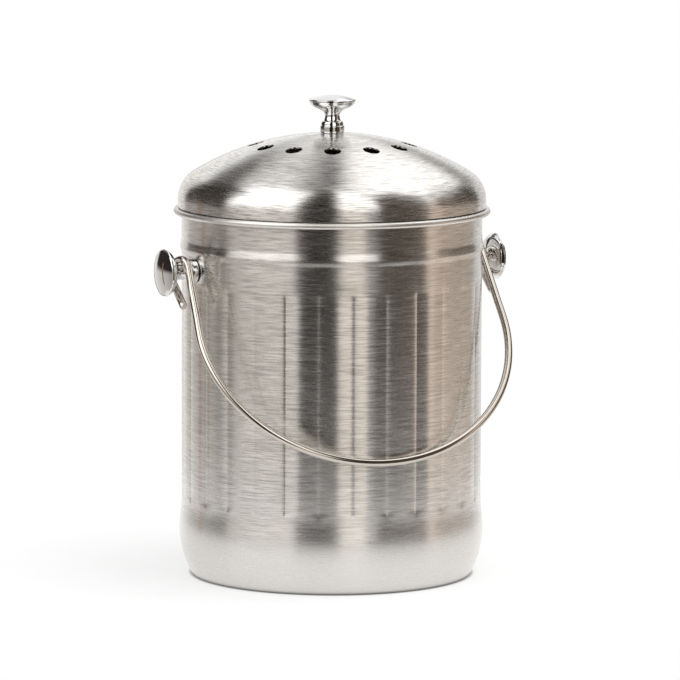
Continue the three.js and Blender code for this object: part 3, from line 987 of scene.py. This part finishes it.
@dataclass
class Bail:
    """The bail: one wire with an open eye and a short tail at each end."""

    finishes: Finishes
    wire: float = 2.25
    eye_radius: float = 7.2
    leg_place: float = 95.05
    coil: float = 4.7
    leg: float = 50.0
    spread: float = 2.7
    lean: float = 7.2
    tail: float = 21.0
    tail_lean: float = math.radians(11.5)
    body_radius: float = 87.8
    axis_height: float = 182.0
    length: float = 137.92
    eye_spans: int = 12
    bow_spans: int = 16
    samples: int = 6
    sides: int = 24
    chamfer: float = 0.35

    def half(self, side: int) -> np.ndarray:
        """One half of the centre line, from the cut end of the tail to the lowest point of the bow.

        x runs along the knobs, y from the back of the eye to its front and z down the leg. The eye is a
        half turn and a little more that steps outward as it turns, and the bow a quarter of an ellipse.

        Args:
            side: -1 for the left half, 1 for the right half.

        Returns:
            The points of the centre line.
        """
        share = 1 - np.arange(self.eye_spans + 1) / self.eye_spans
        angle = share * (math.pi + self.tail_lean)
        eye = np.column_stack((
            side * (self.leg_place + self.coil * share),
            self.eye_radius * np.cos(angle), -self.eye_radius * np.sin(angle),
        ))
        along = np.array([0, math.sin(self.tail_lean), math.cos(self.tail_lean)])
        thirds = np.array([0, 1 / 3, 2 / 3])
        tail = eye[0] + along * (self.tail * (1 - thirds))[:, None]
        down = self.leg * thirds[1:]
        outward = self.leg_place + self.spread * thirds[1:]
        turn = np.arange(self.bow_spans + 1) / self.bow_spans * math.pi / 2
        down = np.concatenate((down, self.leg + (self.length - self.leg) * np.sin(turn)))
        outward = np.concatenate((outward, (self.leg_place + self.spread) * np.cos(turn)))
        bow = np.column_stack((
            side * outward - self.lean * down / self.length, np.full(len(down), self.eye_radius), down,
        ))
        return np.vstack((tail, eye, bow))

    def tilt(self, points: np.ndarray) -> float:
        """How far the bail tilts forward from hanging straight down, so that it just clears the wall.

        Args:
            points: the centre line, hanging straight down.

        Returns:
            The angle in radians.
        """
        reach = self.body_radius + self.wire + SEAT_GAP
        contact_shade = points[np.abs(points[:, 0]) < reach]
        forward = np.sqrt(reach ** 2 - contact_shade[:, 0] ** 2)
        angles = np.arcsin(forward / np.hypot(contact_shade[:, 1], contact_shade[:, 2])) - np.arctan2(contact_shade[:, 1], contact_shade[:, 2])
        return float(angles.max())

    def smooth(self, points: np.ndarray) -> np.ndarray:
        """A centripetal Catmull-Rom curve through the points.

        In each span the point's place is mixed in three rounds from its four neighbours, with knots spaced
        by the square root of the distance between them.

        Args:
            points: the points that the curve goes through.

        Returns:
            The curve's points.
        """
        padded = np.vstack((2 * points[0] - points[1], points, 2 * points[-1] - points[-2]))
        around = np.stack([padded[i:len(padded) - 3 + i] for i in range(4)])
        gaps = np.sqrt(np.linalg.norm(np.diff(around, axis=0), axis=-1))
        knots = np.concatenate((np.zeros((1, gaps.shape[1])), np.cumsum(gaps, axis=0)))[:, :, None, None]
        t = np.arange(self.samples) / self.samples
        t = knots[1] + (knots[2] - knots[1]) * t[None, :, None]
        level = [p[:, None] for p in around]
        for reach in (1, 2, 3):
            level = [
                self.mix(level[i], level[i + 1], *self.span(knots, reach, i), t) for i in range(4 - reach)
            ]
        return np.vstack((level[0].reshape(-1, 3), points[-1:]))

    @staticmethod
    def span(knots: np.ndarray, reach: int, i: int) -> tuple[np.ndarray, np.ndarray]:
        """The two knots between which one step of the curve mixes."""
        return (knots[1], knots[2]) if reach == 3 else (knots[i], knots[i + reach])

    @staticmethod
    def mix(a: np.ndarray, b: np.ndarray, start: np.ndarray, end: np.ndarray, t: np.ndarray) -> np.ndarray:
        """Mixes a and b by where t lies between start and end."""
        return ((end - t) * a + (t - start) * b) / (end - start)

    def build(self) -> None:
        """Builds the wire from one cut end to the other."""
        path = np.vstack((self.half(-1), self.half(1)[::-1][1:]))
        tilt = self.tilt(path)
        sine, cosine = math.sin(tilt), math.cos(tilt)
        fine = self.smooth(path)
        x, y, z = fine.T
        placed = np.column_stack((
            x, -z * sine - y * cosine, y * sine - z * cosine + self.axis_height,
        ))
        share = smoothstep(np.clip(z / self.leg, 0, 1) * (y > 0))[:, None]
        across = np.array([0, -cosine, sine])
        reference = np.array([1.0, 0, 0]) * (1 - share) + across * share
        bail = sweep("bail_wire", placed, reference, self.wire, self.sides, self.chamfer)
        settle(bail, "bail", ("bail_handle",), [self.finishes.wire])


# ---- lid


@dataclass
class Lid:
    """The lid: domed skin with a ring of vents, and the plug ring under it."""

    finishes: Finishes
    radius: float = 90.0
    sheet: float = 0.7
    edge: float = 215.95
    edge_lift: float = 0.4
    edge_band: float = 0.5
    skirt: float = 4.7
    crown_radius: float = 156.0
    corner_radius: float = 18.5
    seat_radius: float = 8.5
    vent_count: int = 12
    vent_radius: float = 4.9
    vent_ring: float = 44.7
    vent_phase: float = 0.16
    bore_radius: float = 2.3
    plug_radius: float = 84.8
    plug_depth: float = 12.0
    corner_steps: int = 30
    crown_steps: int = 44
    cut_height: float = 60.0
    columns: int = 360
    plug_columns: int = 256

    def outside(self) -> np.ndarray:
        """Outside of the skin from its lower edge to the middle: skirt, corner arc, crown arc, flat seat.

        Returns:
            Radius and height of each row.
        """
        corner_place = self.radius - self.corner_radius
        corner_height = self.edge + self.skirt
        apart = self.crown_radius - self.corner_radius
        meeting = math.acos(corner_place / apart)
        centre = corner_height - apart * math.sin(meeting)
        end = math.acos(self.seat_radius / self.crown_radius)
        corner = arc((corner_place, corner_height), self.corner_radius, 0, meeting, self.corner_steps)
        crown = arc((0, centre), self.crown_radius, meeting, end, self.crown_steps)
        top = centre + self.crown_radius * math.sin(end)
        low = self.edge + self.edge_lift
        band = [(self.radius, low), (self.radius, low + self.edge_band)]
        return np.vstack((band, corner, crown[1:], [(0, top)]))

    def cutter(self, radius: float, bearing: float, ring: float, steps: int) -> bpy.types.Object:
        """An upright cylinder that cuts one hole through the skin.

        Args:
            radius: the hole's radius.
            bearing: angle from +X in radians.
            ring: how far from the lid's axis the hole lies.
            steps: number of the cylinder's sides.

        Returns:
            The cutter.
        """
        piece = rod(radius, self.edge, self.edge + self.cut_height, steps)
        centre = Vector((ring * math.cos(bearing), ring * math.sin(bearing), 0)) * MILLIMETRE
        move_points(piece, Axis.UP, centre)
        return piece

    def build(self) -> None:
        """Builds the skin with its holes, and the plug ring."""
        outside = self.outside()
        inside = offset_left(outside, self.sheet)
        inside[-1, 0] = 0
        outline = np.vstack((inside[::-1], outside))
        outer_slot, inner_slot = range(2)
        slots = np.full(len(outline) - 1, outer_slot)
        slots[: len(inside) - 1] = inner_slot
        skin_piece = revolve("lid_skin", outline, self.columns, row_slots=slots)
        bearings = [(i + self.vent_phase) * math.tau / self.vent_count for i in range(self.vent_count)]
        cutters = [self.cutter(self.vent_radius, bearing, self.vent_ring, 48) for bearing in bearings]
        cutters.append(self.cutter(self.bore_radius, 0, 0, 24))
        cut_out(skin_piece, cutters)
        settle(skin_piece, "lid", ("lid_shell",), [self.finishes.lid, self.finishes.inner])
        lip = self.radius - self.sheet - SEAT_GAP
        lip_top = self.edge + self.skirt - SEAT_GAP
        flange_top = self.edge + self.sheet
        ring = np.array([
            (self.plug_radius - self.sheet, self.edge - self.plug_depth),
            (self.plug_radius, self.edge - self.plug_depth), (self.plug_radius, self.edge), (lip, self.edge),
            (lip, lip_top), (lip - self.sheet, lip_top), (lip - self.sheet, flange_top),
            (self.plug_radius - self.sheet, flange_top),
        ])
        ring = soften(ring, 0.3, 3, closed=True)
        plug = revolve("plug_ring_rolled", ring, self.plug_columns, closed=True)
        settle(plug, "lid", ("lid_plug_ring",), [self.finishes.inner])


# ---- filter


@dataclass
class FilterCup:
    """The slotted cup under the lid and the felt disc that lies in it."""

    finishes: Finishes
    wall: float = 1.6
    depth: float = 10.0
    flange: float = 0.6
    hub_radius: float = 19.0
    rim_width: float = 14.0
    slot_count: int = 16
    slot_width: float = 7.0
    clearance: float = 0.5
    felt_thickness: float = 8.0
    cut_below: float = 6.0
    cut_above: float = 3.0
    end_steps: int = 10
    columns: int = 256

    def slot(self, number: int, radius: float, floor: float) -> bpy.types.Object:
        """Cutter for one slot, which is a box with round ends. Every other slot is half as long.

        Args:
            number: which slot, counted round the cup.
            radius: outer radius of the cup.
            floor: height of the top of the cup's floor.

        Returns:
            The cutter.
        """
        full = radius - self.rim_width - self.hub_radius
        length = full if number % 2 == 0 else full / 2
        half = self.slot_width / 2
        far, contact_shade = self.hub_radius + full - half, self.hub_radius + full - length + half
        outer = arc((far, 0), half, -math.pi / 2, math.pi / 2, self.end_steps)
        inner = arc((contact_shade, 0), half, math.pi / 2, 3 * math.pi / 2, self.end_steps)
        loop = np.vstack((outer, inner))
        angle = number * math.tau / self.slot_count
        middle = np.array([((far + contact_shade) / 2, 0)])
        spin = np.array([(math.cos(angle), math.sin(angle)), (-math.sin(angle), math.cos(angle))])
        sizes = np.array([0, 1, 1, 0])[:, None, None]
        flat = (middle + (loop - middle) * sizes) @ spin
        low, high = floor - self.cut_below, floor + self.cut_above
        return skin("slot", stack_flat(flat, np.array([low, low, high, high])), np.arange(4.0))

    def build(self) -> None:
        """Builds the cup with its slots and the felt disc."""
        low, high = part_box("filter_holder")
        outer = high.x / MILLIMETRE
        bottom = low.z / MILLIMETRE
        floor = bottom + self.wall
        radius = outer - self.flange
        corners = np.array([
            (0, bottom), (outer, bottom), (outer, floor), (radius, floor), (radius, floor + self.depth),
            (radius - self.wall, floor + self.depth), (radius - self.wall, floor), (0, floor),
        ])
        # Half a step round, so that no column meets the tip of a slot, where the cut would stay open
        bearings = (np.arange(self.columns) + 0.5) / self.columns * math.tau
        cup = revolve("filter_cup_moulded", soften(corners, 0.4, 3), bearings)
        cut_out(cup, [self.slot(i, radius, floor) for i in range(self.slot_count)])
        settle(cup, "filter", ("filter_holder",), [self.finishes.plastic])
        base = floor + SEAT_GAP
        felt_radius = radius - self.wall - self.clearance
        disc = np.array([
            (0, base), (felt_radius, base), (felt_radius, base + self.felt_thickness),
            (0, base + self.felt_thickness),
        ])
        felt = revolve("charcoal_felt_disc", soften(disc, 1.4, 6), self.columns)
        settle(felt, "filter", ("charcoal_filter",), [self.finishes.felt])


# ---- studio


@dataclass(frozen=True)
class Card:
    """A card or softbox round the table, part of a sphere, which shapes what the steel mirrors.

    Bearings, elevations and the widths of its soft edges are in degrees. The shade runs evenly from its
    first value, at the first bearing, to its second. Where two cards overlap, the one with the smaller
    radius is in front.
    """

    name: str
    bearings: tuple[float, float]
    elevations: tuple[float, float]
    shades: tuple[tuple[float, float, float], tuple[float, float, float]]
    soft: tuple[float, float] = (5.0, 5.0)
    radius: float = 2200.0
    spans: tuple[int, int] = (40, 24)

    @staticmethod
    def mask(
        tree: bpy.types.NodeTree, source: bpy.types.NodeSocket, span: float, soft: float
    ) -> bpy.types.NodeSocket:
        """How solid the card is across one direction: 0 at both edges and 1 inside the soft edges.

        Args:
            tree: the card's node tree.
            source: the share across, from 0 to 1.
            span: the card's size in that direction, in degrees.
            soft: how wide each soft edge is, in degrees.

        Returns:
            The mask.
        """
        edge = min(soft / span, 0.49)
        node = add_node(tree, "ShaderNodeValToRGB", None, {0: source})
        node.color_ramp.interpolation = "EASE"
        black, white = (0, 0, 0, 1), (1, 1, 1, 1)
        ramp(node, [(0, black), (edge, white), (1 - edge, white), (1, black)])
        return node.outputs[0]

    def material(self) -> bpy.types.Material:
        """A card that gives its own shade and fades out at its edges.

        Returns:
            The material.
        """
        material, tree = new_material(f"{self.name}_card")
        place = add_node(tree, "ShaderNodeTexCoord")
        apart = add_node(tree, "ShaderNodeSeparateXYZ", None, {0: place.outputs["UV"]})
        wide = self.mask(tree, apart.outputs["X"], self.bearings[1] - self.bearings[0], self.soft[0])
        high = self.mask(tree, apart.outputs["Y"], self.elevations[1] - self.elevations[0], self.soft[1])
        solid = calculate(tree, "MULTIPLY", wide, high)
        shade = add_node(
            tree, "ShaderNodeMix", {"data_type": "RGBA"},
            {0: apart.outputs["X"], 6: (*self.shades[0], 1), 7: (*self.shades[1], 1)},
        )
        clear = add_node(tree, "ShaderNodeBsdfTransparent")
        card = add_node(tree, "ShaderNodeEmission", None, {"Color": shade.outputs[2], "Strength": 1.0})
        blend(tree, solid, clear, card)
        return material

    def build(self) -> None:
        """Builds the card: the radius times the sines and cosines of bearing and elevation, on a grid."""
        across, up = self.spans
        bearing = np.radians(np.linspace(*self.bearings, across + 1))[None, :]
        elevation = np.radians(np.linspace(*self.elevations, up + 1))[:, None]
        flat = self.radius * np.cos(elevation)
        x, y = flat * np.sin(bearing), -flat * np.cos(bearing)
        z = np.broadcast_to(self.radius * np.sin(elevation), x.shape)
        points = np.stack((x, y, z), axis=-1).reshape(-1, 3)
        index = np.arange(x.size).reshape(x.shape)
        faces = np.stack((index[:-1, :-1], index[:-1, 1:], index[1:, 1:], index[1:, :-1]), axis=-1)
        share_u, share_v = np.meshgrid(np.arange(across + 1) / across, np.arange(up + 1) / up)
        uv = np.stack((share_u, share_v), axis=-1).reshape(-1, 2)[faces.ravel()]
        card = new_piece(self.name, points, faces.reshape(-1, 4).tolist(), uv, np.zeros(across * up, int))
        card.data.materials.append(self.material())
        card.visible_camera = False
        card.visible_diffuse = False
        card.visible_shadow = False


@dataclass
class Studio:
    """White table, white background, soft lamps, cards and the camera."""

    table_radius: float = 360.0
    table_rings: tuple[float, ...] = (1.0, 0.6, 0.3, 0.0)
    table_shift: tuple[float, float] = (30.0, 60.0)
    table_shadow: float = 0.3
    contact_shade_reach: float = 2.2
    fill: float = 0.7
    camera_place: tuple[float, float, float] = (-1374.1, -2880.9, 550.3)
    aim_height: float = 137.35
    aim_right: float = 4.9
    lens: float = 290.77
    sensor: float = 36.0
    view_depth: float = 50000.0
    roll: float = 0.198
    lamp_place: tuple[float, float, float] = (300.0, -400.0, 1900.0)
    lamp_aim: tuple[float, float, float] = (0.0, 0.0, 120.0)
    lamp_size: float = 1000.0
    lamp_power: float = 18.0
    cards: tuple[Card, ...] = (
        Card("centre_grey", (-30.0, 8.0), (-40.0, 14.0),
             ((0.5, 0.44, 0.38), (0.74, 0.66, 0.58)), (4.0, 8.0), 2350.0),
        Card("centre_softbox", (-24.5, 12.0), (8.0, 60.0),
             ((1.5, 1.47, 1.44), (1.9, 1.87, 1.84)), (5.0, 10.0), 2197.0),
        Card("dark_strip", (-56.0, -16.0), (-78.0, 88.0),
             ((0.016, 0.012, 0.009), (0.012, 0.009, 0.007)), (7.0, 6.0)),
        Card("left_grey", (-136.0, -45.0), (-40.0, 22.0),
             ((0.37, 0.345, 0.32), (0.54, 0.505, 0.465)), (6.0, 12.0), 2300.0),
        Card("left_softbox", (-130.0, -46.0), (12.0, 77.0),
             ((2.0, 2.0, 2.0), (2.0, 1.98, 1.96)), (8.0, 10.0), 2198.0),
        Card("left_dark", (-171.0, -107.0), (-2.0, 56.0),
             ((0.035, 0.03, 0.026), (0.026, 0.021, 0.017)), (8.0, 6.0), 2196.0),
        Card("left_far_dark", (-196.0, -165.0), (31.0, 54.0),
             ((0.06, 0.054, 0.05), (0.03, 0.026, 0.022)), (8.0, 8.0), 2205.0),
        Card("left_brown", (-144.0, -138.5), (-14.0, 10.0),
             ((0.3, 0.15, 0.08), (0.3, 0.15, 0.08)), (2.0, 4.0), 2190.0),
        Card("left_warm", (-200.0, -118.0), (-20.0, 22.0),
             ((0.95, 0.92, 0.89), (0.46, 0.43, 0.4)), (6.0, 3.0), 2210.0),
        Card("right_dark", (-3.0, 54.0), (-60.0, 66.0),
             ((0.014, 0.01, 0.007), (0.12, 0.096, 0.075)), (6.0, 8.0)),
        Card("right_warm", (14.0, 116.0), (-45.0, 30.0),
             ((0.84, 0.66, 0.53), (0.6, 0.53, 0.47)), (6.0, 12.0), 2220.0),
        Card("right_low", (56.0, 119.0), (-2.0, 38.0),
             ((0.17, 0.14, 0.11), (0.014, 0.012, 0.01)), (9.0, 8.0), 2190.0),
        Card("right_softbox", (-24.0, 126.0), (44.0, 84.0),
             ((1.9, 1.9, 1.9), (1.7, 1.7, 1.7)), (6.0, 10.0), 2310.0),
        Card("right_grey", (110.0, 158.0), (-26.0, 30.0),
             ((0.6, 0.58, 0.56), (0.95, 0.95, 0.95)), (8.0, 6.0), 2230.0),
        Card("right_far_grey", (112.0, 152.0), (18.0, 36.0),
             ((0.3, 0.29, 0.28), (0.5, 0.49, 0.48)), (8.0, 7.0), 2225.0),
        Card("back_right", (110.0, 153.0), (32.0, 80.0),
             ((1.7, 1.7, 1.7), (1.3, 1.3, 1.3)), (8.0, 10.0), 2320.0),
        Card("back_strip", (145.0, 166.0), (46.0, 90.0),
             ((0.1, 0.095, 0.09), (0.1, 0.095, 0.09)), (7.0, 8.0), 2300.0),
        Card("back_low_strip", (146.0, 184.0), (-78.0, 10.0),
             ((0.02, 0.018, 0.016), (0.5, 0.48, 0.46)), (5.0, 6.0), 2280.0),
        Card("back_left", (162.0, 206.0), (34.0, 80.0),
             ((0.36, 0.35, 0.34), (1.1, 1.09, 1.08)), (8.0, 10.0), 2320.0),
        Card("ceiling", (-205.0, 155.0), (72.0, 90.0),
             ((0.06, 0.056, 0.052), (0.26, 0.25, 0.24)), (0.1, 8.0), 2330.0),
    )

    def background(self) -> None:
        """World that is white for the camera and in mirrors, and dimmer as a light."""
        world = bpy.data.worlds.new("studio")
        bpy.context.scene.world = world
        world.use_nodes = True
        tree = world.node_tree
        tree.nodes.clear()
        strength = remap(tree, self.seen(tree), self.fill, 1.0)
        light = add_node(tree, "ShaderNodeBackground", None, {"Color": (1, 1, 1, 1), "Strength": strength})
        add_node(tree, "ShaderNodeOutputWorld", None, {"Surface": light.outputs[0]})

    @staticmethod
    def seen(tree: bpy.types.NodeTree) -> bpy.types.NodeSocket:
        """Returns the socket that is 1 for rays from the camera, in mirrors and through glass, and else 0."""
        rays = add_node(tree, "ShaderNodeLightPath").outputs
        first = calculate(tree, "MAXIMUM", rays["Is Camera Ray"], rays["Is Glossy Ray"])
        return calculate(tree, "MAXIMUM", first, rays["Is Transmission Ray"])

    def table(self) -> None:
        """Round white table that keeps the pail's shadow. Ambient occlusion dims its glow where the foot
        comes near it: a painted contact shadow.
        """
        outline = np.array([(self.table_radius * share, 0) for share in self.table_rings])
        top = revolve("table", outline, 128)
        move_points(top, Axis.UP, Vector((*self.table_shift, 0)) * MILLIMETRE)
        material, tree = new_material("white_table")
        matt = add_node(tree, "ShaderNodeBsdfDiffuse", None, {"Color": linear("ffffff")})
        # Painted contact shadow: the glow fades where ambient occlusion finds the foot close by
        contact_shade = add_node(
            tree, "ShaderNodeAmbientOcclusion", {"samples": 8}, {"Distance": self.contact_shade_reach * MILLIMETRE}
        )
        glow = add_node(
            tree, "ShaderNodeEmission", None, {"Color": (1, 1, 1, 1), "Strength": contact_shade.outputs["AO"]}
        )
        blend(tree, calculate(tree, "MULTIPLY", self.seen(tree), 1 - self.table_shadow), matt, glow)
        top.data.materials.append(material)

    def lamp(self) -> None:
        """A square area lamp over the pail, which mirrors don't show. Its power is in watts."""
        data = bpy.data.lights.new("softbox_top", "AREA")
        data.size = self.lamp_size * MILLIMETRE
        data.energy = self.lamp_power
        lamp = bpy.data.objects.new("softbox_top", data)
        lamp.location = Vector(self.lamp_place) * MILLIMETRE
        aim = Vector(self.lamp_aim) - Vector(self.lamp_place)
        lamp.rotation_euler = aim.to_track_quat("-Z", "Y").to_euler()
        lamp.visible_glossy = False
        bpy.context.scene.collection.objects.link(lamp)

    def camera(self) -> None:
        """Long lens, a little above the rim and to the left of the bail."""
        data = bpy.data.cameras.new("camera")
        data.sensor_width = self.sensor
        data.lens = self.lens
        data.clip_end = self.view_depth * MILLIMETRE
        data.dof.use_dof = False
        camera = bpy.data.objects.new("camera", data)
        place = Vector(self.camera_place) * MILLIMETRE
        aim = Vector((0, 0, self.aim_height)) * MILLIMETRE
        turn = (aim - place).to_track_quat("-Z", "Y")
        aim += turn @ Vector((self.aim_right * MILLIMETRE, 0, 0))
        turn = (aim - place).to_track_quat("-Z", "Y") @ Quaternion((0, 0, 1), math.radians(self.roll))
        camera.location = place
        camera.rotation_euler = turn.to_euler()
        bpy.context.scene.collection.objects.link(camera)
        bpy.context.scene.camera = camera

    def build(self) -> None:
        """Builds the whole studio."""
        bpy.context.scene.view_settings.view_transform = "Standard"
        self.background()
        self.table()
        for card in self.cards:
            card.build()
        self.lamp()
        self.camera()


def main() -> None:
    """Builds the pail from its body to its lid, and then the studio."""
    logging.basicConfig(level=logging.INFO, format="%(message)s")
    finishes = Finishes()
    PailBody(finishes).build()
    KnobSet(finishes, "left", "pail", Axis.LEFT).build()
    KnobSet(finishes, "right", "pail", Axis.RIGHT).build()
    Bail(finishes).build()
    Lid(finishes).build()
    KnobSet(finishes, "lid", "lid", Axis.UP, waist_pull=(4.5, 7.5), shoulder=(5.5, 6.9)).build()
    FilterCup(finishes).build()
    Studio().build()


if __name__ == "__main__":
    main()
